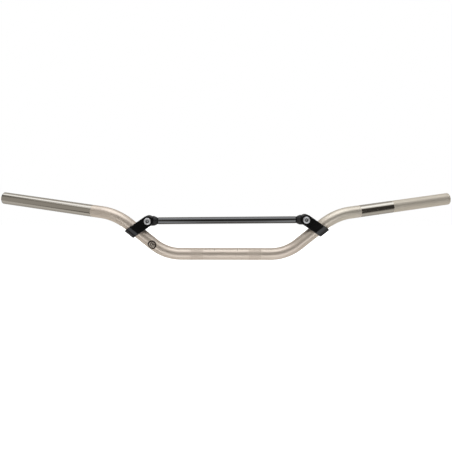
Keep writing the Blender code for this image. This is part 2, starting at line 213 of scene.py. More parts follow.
def finish(mesh, sharp=35.0):
    """Merges poles and seams, turns the faces out and marks edges past an angle as sharp."""
    bm = bmesh.new()
    bm.from_mesh(mesh)
    bmesh.ops.remove_doubles(bm, verts=bm.verts, dist=1e-7)
    bmesh.ops.dissolve_degenerate(bm, edges=bm.edges, dist=1e-8)
    bmesh.ops.recalc_face_normals(bm, faces=bm.faces)
    bm.to_mesh(mesh)
    bm.free()
    mesh.shade_smooth()
    mesh.set_sharp_from_angle(angle=math.radians(sharp))
    return mesh


def turned(name, profile, place=None, sides=96):
    """Turns a profile of (radius, along) points round the Y axis.

    Each point goes to radius * (cos a, 0, sin a) + (0, along, 0), for a from 0 to a full turn.
    """
    profile = np.asarray(profile, float)
    around = np.linspace(0, TURN, sides, endpoint=False)
    points = np.stack([
        profile[:, :1] * np.cos(around),
        np.broadcast_to(profile[:, 1:], (len(profile), sides)),
        profile[:, :1] * np.sin(around),
    ], axis=-1)
    mesh = grid_mesh(name, points, wrap_rows=profile[0, 0] > 0 and profile[-1, 0] > 0)
    finish(mesh)
    if place:
        mesh.transform(place)
    return mesh


def rounded(corners, radius, steps=4, closed=True):
    """Rounds each corner of an outline with a short arc that touches both of its sides.

    A corner's radius may be given one by one.  The arc is a quadratic curve pulled to the corner.
    """
    corners = np.asarray(corners, float)
    radii = np.broadcast_to(radius, len(corners))
    points = []
    blend = np.linspace(0, 1, steps + 1)[:, None]
    for i, (corner, r) in enumerate(zip(corners, radii)):
        if r <= 0 or (not closed and i in (0, len(corners) - 1)):
            points.append(corner[None])
            continue
        sides = corners[i - 1] - corner, corners[(i + 1) % len(corners)] - corner
        start, end = (corner + side * min(r / np.linalg.norm(side), 0.45) for side in sides)
        points.append((1 - blend) ** 2 * start + 2 * blend * (1 - blend) * corner
                      + blend ** 2 * end)
    return np.concatenate(points)


def arc(radius, start, end, step=math.radians(4), centre=(0, 0)):
    """Points of an arc in a plane, both ends included."""
    count = max(2, math.ceil(abs(end - start) / step) + 1)
    a = np.linspace(start, end, count)
    return np.stack([centre[0] + radius * np.cos(a), centre[1] + radius * np.sin(a)], axis=-1)


DRAWN_ALONG_X = np.array([[0, 0, 1], [1, 0, 0], [0, 1, 0]])  # an outline of (y, z) points
DRAWN_ALONG_Y = np.array([[1, 0, 0], [0, 0, 1], [0, 1, 0]])  # an outline of (x, z) points
DRAWN_ALONG_Z = np.eye(3)


def prism(name, outline, low, high, axes):
    """A flat outline of (a, b) points drawn from low to high along a third axis.

    axes gives the directions of a, b and the drawing axis as the columns of a matrix.
    """
    outline = np.asarray(outline, float)
    count = len(outline)
    ends = np.concatenate([np.column_stack([outline, np.full(count, h)]) for h in (low, high)])
    points = ends @ np.asarray(axes, float).T
    index = np.arange(count)
    sides = np.stack([index, np.roll(index, -1), np.roll(index, -1) + count, index + count], -1)
    mesh = bpy.data.meshes.new(name)
    mesh.from_pydata(points.tolist(), [], [index[::-1].tolist(), (index + count).tolist(),
                                           *sides.tolist()])
    return finish(mesh)


def carve(mesh, *cutters, within=None):
    """Keeps what lies within another mesh, if one is given, then takes the cutters away."""
    work = placed("work", mesh)
    tools = []
    cuts = [("INTERSECT", within)] if within else []
    for operation, cutter in cuts + [("DIFFERENCE", cutter) for cutter in cutters]:
        tool = placed("tool", cutter)
        tools.append(tool)
        step = work.modifiers.new(operation, "BOOLEAN")
        step.operation = operation
        step.object = tool
        step.solver = "EXACT"
    result = baked(work)
    for tool in tools:
        bpy.data.objects.remove(tool)
    return result


def baked(work):
    """The mesh that an object's modifiers make; removes the object."""
    bpy.context.view_layer.update()
    view = work.evaluated_get(bpy.context.evaluated_depsgraph_get())
    mesh = bpy.data.meshes.new_from_object(view)
    bpy.data.objects.remove(work)
    return mesh


def soften(mesh, width, segments=3, limit=32.0, crisp=35.0):
    """Rounds every edge past the limit; edges past the crisp angle that stay are shaded sharp."""
    bm = bmesh.new()
    bm.from_mesh(mesh)
    bmesh.ops.remove_doubles(bm, verts=bm.verts, dist=2e-6)
    bmesh.ops.dissolve_limit(bm, angle_limit=math.radians(0.5), verts=bm.verts, edges=bm.edges)
    bm.to_mesh(mesh)
    bm.free()
    mesh.shade_smooth()
    mesh.set_sharp_from_angle(angle=math.radians(crisp))
    work = placed("work", mesh)
    bevel = work.modifiers.new("round edges", "BEVEL")
    bevel.width = width
    bevel.segments = segments
    bevel.limit_method = "ANGLE"
    bevel.angle_limit = math.radians(limit)
    bevel.use_clamp_overlap = True
    bevel.harden_normals = True
    return baked(work)


# ---- materials ----
class Nodes:
    """A node tree, with short ways to add and join its nodes."""

    def __init__(self, tree):
        self.tree = tree

    def add(self, kind, inputs=None, **settings):
        node = self.tree.nodes.new("ShaderNode" + kind)
        for key, value in settings.items():
            setattr(node, key, value)
        for key, value in (inputs or {}).items():
            self.feed(node.inputs[key], value)
        return node

    def feed(self, socket, value):
        """Joins a socket to another one, or sets its value; a colour is made opaque."""
        if isinstance(value, NodeSocket):
            self.tree.links.new(value, socket)
        elif socket.type == "RGBA":
            socket.default_value = (*value[:3], 1)
        else:
            socket.default_value = value

    def maths(self, operation, a, b=0.0, c=0.0, clamp=False):
        node = self.add("Math", operation=operation, use_clamp=clamp)
        for socket, value in zip(node.inputs, (a, b, c)):
            self.feed(socket, value)
        return node.outputs[0]

    def plus(self, a, b):
        return self.maths("ADD", a, b)

    def times(self, a, b):
        return self.maths("MULTIPLY", a, b)

    def ramp(self, value, start, end):
        """Rises smoothly from 0 at start to 1 at end, which may lie below start."""
        rising = float(start < end)
        return self.add("MapRange", {
            "Value": value, "From Min": min(start, end), "From Max": max(start, end),
            "To Min": 1 - rising, "To Max": rising}, interpolation_type="SMOOTHSTEP").outputs[0]

    def between(self, value, low, high, soft):
        """1 where value lies from low to high, with soft edges of that width."""
        return self.times(self.ramp(value, low - soft, low + soft),
                          self.ramp(value, high + soft, high - soft))

    def scaled(self, value, low, high):
        """Maps 0 to 1 onto low to high."""
        return self.maths("MULTIPLY_ADD", value, high - low, low)

    def mix(self, factor, a, b):
        return self.add("Mix", {"Factor": factor, "A": a, "B": b},
                        data_type="RGBA").outputs["Result"]

    def noise(self, vector, scale, detail=2.0, roughness=0.5):
        return self.add("TexNoise", {"Vector": vector, "Scale": scale, "Detail": detail,
                                     "Roughness": roughness}).outputs["Fac"]

    def bump(self, height, distance, strength=1.0, normal=None):
        node = self.add("Bump", {"Height": height, "Distance": distance, "Strength": strength})
        if normal is not None:
            self.feed(node.inputs["Normal"], normal)
        return node.outputs["Normal"]


class Finish(Nodes):
    """The nodes of one material."""

    def __init__(self, name):
        self.material = bpy.data.materials.new(name)
        self.material.use_nodes = True
        super().__init__(self.material.node_tree)
        self.shader = self.tree.nodes["Principled BSDF"]

    def object_coords(self):
        return self.add("TexCoord").outputs["Object"]

    def surface(self, **values):
        """Sets the shader's sockets; underscores in the names stand for spaces."""
        for key, value in values.items():
            self.feed(self.shader.inputs[key.replace("_", " ")], value)
        return self.material


def tint(value, share):
    """A colour made lighter or darker by a share, kept within its range."""
    return tuple(min(1.0, c * share) for c in value)


def plain_metal(name, shade, roughness, grain=0.00004, metallic=1.0, specks=2600.0, coat=0.0,
                ior=1.5, specular=0.5, painted_shade_where=None):
    """Metal or painted metal with fine grain, slight stains and uneven gloss.

    The last argument names a point attribute where painted shade darkens the metal, standing in
    for the shade deep in a recess.
    """
    n = Finish(name)
    place = n.object_coords()
    fine = n.noise(place, specks, 3.0, 0.6)
    cloudy = n.noise(place, 70.0, 2.0)
    rough = n.plus(n.scaled(cloudy, roughness * 0.85, roughness * 1.15),
                   n.scaled(fine, -0.03, 0.03))
    light = tuple(min(1.0, c * 1.12 + 0.002) for c in shade)
    base = n.mix(cloudy, tint(shade, 0.88), light)
    if painted_shade_where:
        # painted shade: darkens the colour where the attribute marks a recess, standing in for
        # its shade
        mask = n.add("Attribute", attribute_name=painted_shade_where).outputs["Fac"]
        base = n.mix(mask, base, tint(shade, 0.12))
    return n.surface(Base_Color=base, Roughness=rough, Metallic=metallic,
                     Normal=n.bump(fine, grain, 0.6), Coat_Weight=coat, Coat_Roughness=0.05,
                     IOR=ior, Specular_IOR_Level=specular)


BLAST_SCALE = 3600.0  # grain of the blasted satin
CLOUD_SCALE = 26.0  # faint clouds in the anodising
POLISH_LINES = 2200.0  # polishing lines on each metre of tube
POLISH_TWIST = 190.0  # turns of the polishing wave on each metre
SATIN_ROUGH = (0.36, 0.43)
POLISH_ROUGH = (0.08, 0.17)
INK_ROUGH = 0.55
SATIN_METAL = 0.68  # the rest of the satin scatters light as a dull skin does
SATIN_DRIFT = (0.11, 0.24)  # stretch over which the satin turns yellower, in metres


def champagne_alloy(tube):
    """The main tube: satin all over, with mirror-polished grips and printed marks.

    The surface map's first value is the distance along the tube from its middle, in metres, and
    its second the share of a turn from the top round by the front.
    """
    n = Finish("champagne_alloy")
    half = half_length(tube)
    uv = n.add("UVMap", uv_map="surface").outputs["UV"]
    split = n.add("SeparateXYZ", {"Vector": uv})
    along, turn = split.outputs["X"], split.outputs["Y"]
    edge = 0.12 * MM
    inner = half - tube.polish_length
    left = n.between(along, -half - 0.01, -inner, edge)
    right = n.between(along, inner, half - tube.knurl_length, edge)
    polish = n.maths("ADD", left, right, clamp=True)

    place = n.object_coords()
    blast = n.noise(place, BLAST_SCALE, 3.0, 0.65)
    cloud = n.noise(place, CLOUD_SCALE, 3.0, 0.55)
    lines = n.add("CombineXYZ", {
        "X": n.times(along, POLISH_LINES), "Y": n.times(turn, 5.0),
    }).outputs[0]
    rings = n.noise(lines, 1.0, 2.0, 0.6)
    twist = n.maths("MULTIPLY_ADD", along, POLISH_TWIST, turn)
    wave = n.maths("SINE", n.times(twist, TURN))
    satin = n.mix(cloud, tint(tube.satin, 0.94), tint(tube.satin, 1.04))
    satin = n.mix(n.ramp(along, *SATIN_DRIFT), satin, tube.satin_clutch_side)
    bright = n.mix(rings, tint(tube.polished, 0.93), tint(tube.polished, 1.05))
    base = n.mix(polish, satin, bright)

    ink = printed_marks(n, tube, along, turn)
    base = n.mix(ink, base, tube.print_ink)
    satin_rough = n.plus(n.scaled(cloud, *SATIN_ROUGH), n.scaled(blast, -0.04, 0.04))
    polish_rough = n.scaled(rings, *POLISH_ROUGH)
    rough = n.maths("MULTIPLY_ADD", n.maths("SUBTRACT", polish_rough, satin_rough), polish,
                    satin_rough)
    rough = n.maths("MAXIMUM", rough, n.times(ink, INK_ROUGH))
    height = n.times(blast, n.maths("SUBTRACT", 1.0, polish))
    normal = n.bump(height, 0.02 * MM, 0.55)
    normal = n.bump(n.times(rings, polish), 0.004 * MM, 0.35, normal)
    normal = n.bump(n.times(wave, polish), 0.006 * MM, 0.5, normal)
    metallic = n.maths("SUBTRACT", n.scaled(polish, SATIN_METAL, 1.0), n.times(ink, 0.7),
                       clamp=True)
    return n.surface(Base_Color=base, Roughness=rough, Metallic=metallic, Normal=normal,
                     Specular_IOR_Level=0.2)


EMBLEM_PAST_BEND = 1.7 * MM  # its centre, up the leg from the lower bend
EMBLEM_TURN = 0.271  # a little under the front of the tube
EMBLEM_RING = (5.5 * MM, 8.1 * MM)
EMBLEM_FIELD = 5.0 * MM
CHEVRON_PITCH = 1.9 * MM  # half the distance from one chevron to the next
CHEVRON_BAR = 1.3 * MM
TICK = (20.95 * MM, 21.35 * MM)
UPPER_SCALE = (23.4 * MM, 38.8 * MM)
LOWER_SCALE = (16.2 * MM, 33.7 * MM)
SCALE_PITCH = 1.25 * MM  # half the distance from one line to the next
BELOW_ZERO = -MM  # low end of a range that starts at zero


def printed_marks(n, tube, along, turn):
    """Ink mask: a round emblem with plain chevrons on the left leg, and alignment scales."""
    def window(value, limits, arc_limits):
        """1 inside a range of distances and a range of turns."""
        return n.times(n.between(value, *limits, 0.05 * MM),
                       n.between(turn, *arc_limits, 0.002))

    centre = tube.half_centre + tube.lower_bend * tube.leg_angle + EMBLEM_PAST_BEND
    x = n.plus(along, centre)
    y = n.times(n.maths("SUBTRACT", turn, EMBLEM_TURN), TURN * TUBE_R)
    far = n.maths("SQRT", n.plus(n.times(x, x), n.times(y, y)))
    soft = 0.10 * MM
    ring = n.between(far, *EMBLEM_RING, soft)
    field = n.between(far, BELOW_ZERO, EMBLEM_FIELD, soft)
    lean = n.plus(n.times(n.maths("ABSOLUTE", x), 0.8), y)
    bars = n.maths("PINGPONG", n.plus(lean, 20 * MM), CHEVRON_PITCH)
    chevrons = n.times(field, n.between(bars, BELOW_ZERO, CHEVRON_BAR, soft))
    emblem = n.times(n.maths("MAXIMUM", ring, chevrons), 0.97)

    near = n.maths("ABSOLUTE", along)
    tick = window(near, TICK, (0.05, 0.155))
    lines = n.between(n.maths("PINGPONG", near, SCALE_PITCH), BELOW_ZERO, 0.16 * MM, 0.05 * MM)
    low_row = n.times(window(near, LOWER_SCALE, (0.262, 0.295)), 0.45)
    rows = n.plus(window(near, UPPER_SCALE, (0.05, 0.10)), low_row)
    marks = n.maths("MAXIMUM", tick, n.times(lines, rows))
    return n.maths("MAXIMUM", emblem, n.times(marks, 0.8))


def knurled_alloy(name, satin):
    """Roughened bands: the tube's colour, dulled and a little darker, with a fine speckled grain.
    """
    n = Finish(name)
    place = n.object_coords()
    fine = n.noise(place, 3000.0, 3.0, 0.7)
    cloud = n.noise(place, 60.0, 2.0)
    base = n.mix(fine, tint(satin, 0.82), tint(satin, 1.05))
    rough = n.plus(n.scaled(fine, 0.46, 0.60), n.scaled(cloud, -0.04, 0.04))
    return n.surface(Base_Color=base, Roughness=rough, Metallic=0.7,
                     Normal=n.bump(fine, 0.03 * MM, 0.8), Specular_IOR_Level=0.2)


# ---- main tube ----
def grip_direction(tube):
    rise, sweep = tube.grip_rise, tube.grip_sweep
    return np.array([math.cos(rise) * math.cos(sweep), math.cos(rise) * math.sin(sweep),
                     math.sin(rise)])


def leg_direction(tube):
    return np.array([math.cos(tube.leg_angle), 0.0, math.sin(tube.leg_angle)])


def upper_turn(tube):
    """Axis and angle of the upper bend, which runs from the leg's direction to the grip's."""
    cross = np.cross(leg_direction(tube), grip_direction(tube))
    sine = np.linalg.norm(cross)
    return cross / sine, math.atan2(sine, leg_direction(tube) @ grip_direction(tube))


def half_length(tube):
    """Length of the centreline from the middle to a tip."""
    return (tube.half_centre + tube.lower_bend * tube.leg_angle + tube.leg_length
            + tube.upper_bend * upper_turn(tube)[1] + tube.grip_length)


def rotate(vectors, axis, angles):
    """Turns vectors round one axis by an angle each, by Rodrigues' formula."""
    c, s = np.cos(angles)[:, None], np.sin(angles)[:, None]
    dot = (vectors @ axis)[:, None]
    return vectors * c + np.cross(axis, vectors) * s + axis * dot * (1 - c)


def bar_line(tube, along):
    """Centreline points, and the up and front directions there, at distances from the middle.

    A straight, a bend in the X-Z plane, the leg, a second bend towards the grip's direction and
    the grip follow each other; the left half is the right one with X turned round.
    """
    s = np.abs(along)
    bend = tube.lower_bend * tube.leg_angle
    axis, sweep = upper_turn(tube)
    ends = np.cumsum([tube.half_centre, bend, tube.leg_length, tube.upper_bend * sweep])
    centre = np.minimum(s, ends[0])
    lower = np.clip(s - ends[0], 0, bend) / tube.lower_bend
    leg = np.clip(s - ends[1], 0, tube.leg_length)
    upper = np.clip(s - ends[2], 0, tube.upper_bend * sweep) / tube.upper_bend
    grip = np.maximum(s - ends[3], 0)

    leg_way, grip_way = leg_direction(tube), grip_direction(tube)
    zero = np.zeros_like(s)
    points = np.stack([centre + tube.lower_bend * np.sin(lower), zero,
                       tube.lower_bend * (1 - np.cos(lower))], axis=-1)
    points = points + leg[:, None] * leg_way
    side = np.cross(axis, leg_way)
    bow = (np.sin(upper)[:, None] * leg_way + (1 - np.cos(upper))[:, None] * side)
    points = points + tube.upper_bend * bow + grip[:, None] * grip_way
    up = np.stack([-np.sin(lower), zero, np.cos(lower)], axis=-1)
    front = np.broadcast_to([0.0, -1.0, 0.0], up.shape)
    up, front = rotate(up, axis, upper), rotate(front, axis, upper)
    flip = np.where(along < 0, -1.0, 1.0)
    for field in (points, up, front):
        field[:, 0] *= flip
    return points, up, front


def sweep_round(tube, along, radius, turns):
    """Points round the centreline: each is centre + radius * (cos a * up + sin a * front).

    radius holds a number for each distance, or one for each distance and turn.
    """
    points, up, front = bar_line(tube, along)
    a = turns[:, None] * TURN
    spoke = np.cos(a) * up[:, None] + np.sin(a) * front[:, None]
    radius = radius.reshape(len(along), -1, 1)
    return points[:, None] + radius * spoke


TIP_ROUND = 0.8 * MM  # rounding of the tube's outer edge at a tip
BAND_DIP = 0.45 * MM  # how far the skin dips under a knurled band
BAND_UNDER = 0.4 * MM  # how far a band's own inner face lies under the surface


def build_tube_mesh(tube):
    """The bent tube as one closed skin: outer wall, rounded tips and bore.

    The outer wall dips under each knurled band, whose own surface stands there.
    """
    columns = 96
    turns = np.arange(columns) / columns
    half = half_length(tube) - INSET
    skin = TUBE_R - INSET
    tip = TIP_ROUND
    lip = 0.05 * MM
    knurls = [(-tube.stem_knurl_centre, tube.stem_knurl_width),
              (tube.stem_knurl_centre, tube.stem_knurl_width),
              (half - tip - (tube.knurl_length - tip) / 2, tube.knurl_length - tip)]
    marks = np.concatenate([[c - w / 2, c - w / 2 + lip, c + w / 2 - lip, c + w / 2]
                            for c, w in knurls])
    along = np.linspace(-half + tip, half - tip, 620)
    along = np.unique(np.concatenate([along, marks[marks < half - tip]]))
    radius = np.full(len(along), skin)
    for centre, width in knurls:
        radius[np.abs(along - centre) < width / 2 - lip / 2] = TUBE_R - BAND_DIP
    bend = np.linspace(0, math.pi / 2, 6)
    tip_along = half - tip + tip * np.sin(bend)
    tip_radius = skin - tip + tip * np.cos(bend)
    bore = TUBE_R - tube.wall
    chamfer = 0.3 * MM
    bore_along = np.linspace(-half + chamfer, half - chamfer, 160)
    all_along = np.concatenate([-tip_along[:0:-1], along, tip_along[1:],
                                [half], bore_along[::-1], [-half]])
    all_radius = np.concatenate([tip_radius[:0:-1], radius, tip_radius[1:], [bore + chamfer],
                                 np.full(len(bore_along), bore), [bore + chamfer]])
    points = sweep_round(tube, all_along, all_radius, turns)
    uv = (np.append(all_along, all_along[0]), np.arange(columns + 1) / columns)
    mesh = grid_mesh("main_tube_skin", points, wrap_rows=True, uv=uv)
    mesh.set_sharp_from_angle(angle=math.radians(40))
    return mesh


def knurl_mesh(name, tube, start, end, teeth, rows, depth):
    """A diamond-knurled sleeve round the tube.

    The height is the smaller of two triangle waves that climb the tube at opposite slants.
    """
    columns = teeth * 5
    turns = np.arange(columns) / columns
    along = np.linspace(start, end, rows)
    pitch = TURN * TUBE_R / teeth
    slant = np.add.outer(along / pitch, turns * teeth)
    counter = np.add.outer(-along / pitch, turns * teeth)

    def triangle(x):
        return 1 - 2 * np.abs(x - np.round(x))

    height = np.minimum(triangle(slant), triangle(counter))
    fade = np.clip(np.minimum(along - start, end - along) / (0.6 * MM), 0, 1)[:, None]
    radius = TUBE_R - depth + depth * height * fade
    all_along = np.append(along, [end, start])
    all_radius = np.vstack([radius, np.full((2, columns), TUBE_R - BAND_UNDER)])
    return grid_mesh(name, sweep_round(tube, all_along, all_radius, turns), wrap_rows=True)


class HANDLEBAR_OT_main_tube(Operator):
    """Bends the tube, rounds its tips and gives it satin, polished and printed zones"""
    bl_idname = "handlebar.main_tube"
    bl_label = "Main tube"

    def execute(self, context):
        tube = context.scene.handlebar_tube
        show("main_tube_skin", build_tube_mesh(tube), champagne_alloy(tube), "bar",
             ["main_tube"])
        return {"FINISHED"}


class HANDLEBAR_OT_knurls(Operator):
    """Rolls the knurled bands under the stem clamps and on the clutch-side grip"""
    bl_idname = "handlebar.knurls"
    bl_label = "Knurls"

    def execute(self, context):
        tube = context.scene.handlebar_tube
        stem_finish = knurled_alloy("stem_knurl_alloy", tube.satin)
        grip_finish = knurled_alloy("grip_knurl_alloy", tube.satin_clutch_side)
        half_width = tube.stem_knurl_width / 2
        for side, hand in SIDES.items():
            middle = hand * tube.stem_knurl_centre
            name = f"stem_knurl_{side}"
            mesh = knurl_mesh(name, tube, middle - half_width, middle + half_width,
                              teeth=56, rows=90, depth=0.22 * MM)
            show(name, mesh, stem_finish, "bar")
        half = half_length(tube)
        mesh = knurl_mesh("grip_knurl", tube, half - tube.knurl_length, half - TIP_ROUND,
                          teeth=44, rows=320, depth=0.2 * MM)
        show("grip_knurl", mesh, grip_finish, "bar")
        return {"FINISHED"}


# ---- clamps ----
def clamp_frame(tube, clamp, side):
    """Frame where the arm crosses the tube's axis: X along the leg, Z off its top.

    The left clamp is the right one turned half round, so its X and Y point the other way.
    """
    pivot_off = TUBE_R + clamp.standoff
    leg = Vector(leg_direction(tube))
    normal = Vector((-leg.z, 0, leg.x))
    axes = Matrix((leg, (0, 1, 0), normal)).transposed().to_4x4()
    turn = Matrix.Rotation(math.pi, 4, "Z")
    pivot = PIVOT[side] if side == "right" else turn @ PIVOT[side]
    origin = pivot + leg * (pivot_off * math.tan(clamp.arm_skew)) - normal * pivot_off
    made = Matrix.Translation(origin) @ axes
    return made if side == "right" else turn @ made


BOLT_HOLE_R = 4.3 * MM
DEEP = 40 * MM  # reach of a cut that goes right through
POCKET_DEPTH = 4.5 * MM  # the round pocket that a bolt's head or a nut sits in
POCKET_ROOM = 0.5 * MM
HALF_CUT = 0.5 * MM  # half of the slot between a clamp's two halves
FACE_END = 1.5 * MM  # how far the upright side goes on below the tube's axis
LOWER_BEVEL = np.array([1.6 * MM, 6.0 * MM])  # it leans in by this much over this height
SOLE_INSET = 3.4 * MM  # how much narrower than the tube's hole the sole is
FINGER_GAP = 0.8 * MM  # height between the plain half's end and the hook's finger
LIP = 1.3 * MM
LIP_SWEEP = math.radians(16)


def clamp_sections(clamp, eye_thickness, pivot_off):
    """Outlines of the halves across the leg, as (y, n) points round the tube's axis.

    The hooked half reaches under the tube and catches the plain half's thin lip.  Angles run
    from +y towards +n.
    """
    hole = TUBE_R + GAP
    depth = hole + clamp.side_wall
    top = pivot_off + clamp.arm_width
    face = np.array([depth, -FACE_END])
    bevel = face - LOWER_BEVEL
    sole = np.array([hole - SOLE_INSET, -hole - clamp.sole_wall])
    finger = bevel + (sole - bevel) * FINGER_GAP / (bevel[1] - sole[1])
    cut_angle = math.acos(HALF_CUT / hole)
    lip_r, finger_r = hole + LIP, hole + LIP + GAP
    lip_start = math.asin(bevel[1] / lip_r)
    lip_end = lip_start - LIP_SWEEP
    hook_end = lip_end - 2 * GAP / hole
    ear = eye_thickness / 2 + GAP
    pocket = pivot_off - box_size("crossbar_end_left").y / 2 - 2 * GAP
    mirror = np.array([-1.0, 1.0])

    hooked = np.vstack([
        [[-depth, top]], face * mirror, bevel * mirror, sole * mirror, sole, finger,
        arc(finger_r, math.asin(finger[1] / finger_r), hook_end),
        arc(hole, hook_end, -math.pi - cut_angle),
        [[-HALF_CUT, pocket], [-ear, pocket], [-ear, top]],
    ])
    plain = np.vstack([
        [[depth, top]], face, bevel,
        arc(lip_r, lip_start, lip_end),
        arc(hole, lip_end, cut_angle),
        [[HALF_CUT, pocket], [ear, pocket], [ear, top]],
    ])
    return hooked, plain


def arm_outline(clamp, pivot_off):
    """The clamp seen along Y, as (u, n): a skewed bar with a round end at the pivot."""
    skew, radius = clamp.arm_skew, clamp.arm_width / 2
    pivot = np.array([-pivot_off * math.tan(skew), pivot_off])
    cap = arc(radius, skew, skew + math.pi, math.radians(3), pivot)
    down = 4 * clamp.arm_width * np.array([math.sin(skew), -math.cos(skew)])
    return np.vstack([cap, cap[-1] + down, cap[0] + down])


def pocket_cutter(radius, floor, mouth):
    """A turned plug along Y that sinks a round pocket."""
    profile = [(0, floor), (radius, floor), (radius, mouth), (0, mouth)]
    return turned("pocket", profile, sides=72)


class HANDLEBAR_OT_clamps(Operator):
    """Forges the front and rear halves of both crossbar clamps"""
    bl_idname = "handlebar.clamps"
    bl_label = "Clamps"

    def execute(self, context):
        tube, clamp = context.scene.handlebar_tube, context.scene.handlebar_clamp
        black = plain_metal("black_forging", clamp.black, 0.15, 0.000008, 0.0, 2200.0,
                            specular=0.55)
        pivot_off = TUBE_R + clamp.standoff
        eye_thickness = context.scene.handlebar_crossbar.eye_thickness
        hooked, plain = clamp_sections(clamp, eye_thickness, pivot_off)
        arm = arm_outline(clamp, pivot_off)
        depth = TUBE_R + GAP + clamp.side_wall
        pivot_x = -pivot_off * math.tan(clamp.arm_skew)
        for side, hand in SIDES.items():
            place = clamp_frame(tube, clamp, side)
            for half, facing, widest in (("front", -1, "pivot_bolt"), ("rear", 1, "nut_washer")):
                node = f"clamp_{side}_{half}"
                outward = hand * facing
                body = prism(node, hooked if outward < 0 else plain, -DEEP, DEEP, DRAWN_ALONG_X)
                room = box_size(f"{widest}_{side}").x / 2 + POCKET_ROOM
                sink = pocket_cutter(room, outward * (depth - POCKET_DEPTH), outward * DEEP)
                hole = pocket_cutter(BOLT_HOLE_R, -DEEP, DEEP)
                for cutter in (sink, hole):
                    cutter.transform(Matrix.Translation((pivot_x, 0, pivot_off)))
                mesh = carve(body, hole, sink,
                             within=prism("arm", arm, -DEEP, DEEP, DRAWN_ALONG_Y))
                mesh = soften(mesh, clamp.edge_round, crisp=10.0)
                mesh.transform(place)
                show(f"{node}_forging", mesh, black, f"clamp_{side}", [node])
        return {"FINISHED"}


# ---- crossbar ----
def along_bar(side):
    """Frame at a pivot whose Y runs along the crossbar towards its middle."""
    tilt = Matrix.Rotation(-BAR_TILT, 4, "Y")
    turn = Matrix.Rotation(SIDES[side] * math.pi / 2, 4, "Z")
    return Matrix.Translation(PIVOT[side]) @ tilt @ turn


ROD_START = 18.5 * MM  # distances from a pivot towards the crossbar's middle
FLATS_END = 10.4 * MM
CONE = (11.0 * MM, 16.6 * MM)
SPIGOT_END = ROD_START + 22 * MM
RING_LENGTH = 1.6 * MM
EYE_BORE_R = 5.6 * MM


class HANDLEBAR_OT_crossbar(Operator):
    """Turns the crossbar, its two end fittings and their rubber rings"""
    bl_idname = "handlebar.crossbar"
    bl_label = "Crossbar"

    def execute(self, context):
        bar = context.scene.handlebar_crossbar
        span = (PIVOT["right"] - PIVOT["left"]).length
        rod_r = box_size("crossbar_tube").y / 2
        gloss = plain_metal("black_gloss", bar.gloss, 0.14, 0.000012, 0.0, 1800.0, 1.0, 1.9)
        satin = plain_metal("black_satin", bar.satin, 0.40, 0.00003, 0.0, 2400.0)
        rubber = plain_metal("black_rubber", bar.rubber, 0.7, 0.00005, 0.0, 1500.0)
        bore = rod_r - bar.wall
        ends = ROD_START, span - ROD_START
        wall = rounded([(rod_r, ends[0]), (rod_r, ends[1]), (bore, ends[1]), (bore, ends[0])],
                       0.35 * MM)
        show("crossbar_tube_skin", turned("crossbar_tube_skin", wall, along_bar("left")),
             gloss, "crossbar", ["crossbar_tube"])
        for side in SIDES:
            name = f"crossbar_end_{side}_turned"
            mesh = self.fitting(name, bar, rod_r, side)
            show(name, mesh, satin, "crossbar", [f"crossbar_end_{side}"])
            name = f"crossbar_ring_{side}_rubber"
            ends = ROD_START - RING_LENGTH, ROD_START - GAP
            band = rounded([(bore, ends[0]), (rod_r - GAP, ends[0]), (rod_r - GAP, ends[1]),
                            (bore, ends[1])], 0.5 * MM, 5)
            show(name, turned(name, band, along_bar(side)), rubber, "crossbar",
                 [f"crossbar_ring_{side}"])
        return {"FINISHED"}

    def fitting(self, name, bar, rod_r, side):
        """A ball with two flats and a bolt eye, then a cone and the crossbar's spigot."""
        eye_r = bar.eye / 2
        ball = arc(eye_r, -math.pi / 2, 0)
        ball[0, 0] = 0
        spigot = rod_r - bar.wall - GAP
        neck = rounded([(eye_r, 0), (eye_r, CONE[0]), (rod_r, CONE[1]), (spigot, CONE[1]),
                        (spigot, SPIGOT_END), (0, SPIGOT_END)],
                       [0, 1.6 * MM, 0.8 * MM, 0.2 * MM, 0.4 * MM, 0], closed=False)
        body = turned(name, np.vstack([ball, neck[1:]]))
        flat = bar.eye_thickness / 2
        far = 2 * eye_r
        cuts = []
        for low, high in ((-far, -flat), (flat, far)):
            outline = [(low, -far), (high, -far), (high, FLATS_END), (low, FLATS_END)]
            cuts.append(prism("flat", outline, -far, far, DRAWN_ALONG_Z))
        eye = pocket_cutter(EYE_BORE_R, -far, far)
        eye.transform(Matrix.Rotation(math.pi / 2, 4, "Z"))
        mesh = soften(carve(body, *cuts, eye), 0.35 * MM, 2, 40)
        mesh.transform(along_bar(side))
        return mesh


# ---- fasteners ----
SHANK_R = 4.0 * MM
NUT_BORE_R = 4.2 * MM
PLAIN_SHANK = 16 * MM  # length of the shank that has no thread
THREAD_DEPTH = 0.4785  # share of the pitch


def bolt_profile(fastener, low, high, head_r, head_end):
    """Half section of a pivot bolt along Y: low head, shank and ridged thread."""
    head = rounded([(0, low), (head_r - 0.8 * MM, low), (head_r, low + 0.8 * MM),
                    (head_r, head_end), (SHANK_R, head_end)],
                   [0, 0.35 * MM, 0.35 * MM, 0.25 * MM, 0], 3, closed=False)
    pitch = fastener.thread_pitch
    ridges = int((high - head_end - PLAIN_SHANK) / pitch)
    begin = high - 0.7 * MM - ridges * pitch
    steps = np.arange(2 * ridges + 1)
    groove = steps % 2 * THREAD_DEPTH * pitch
    thread = np.column_stack([SHANK_R - groove, begin + steps * pitch / 2])
    return np.vstack([head, thread, [(SHANK_R - 0.8 * MM, high), (0, high)]])


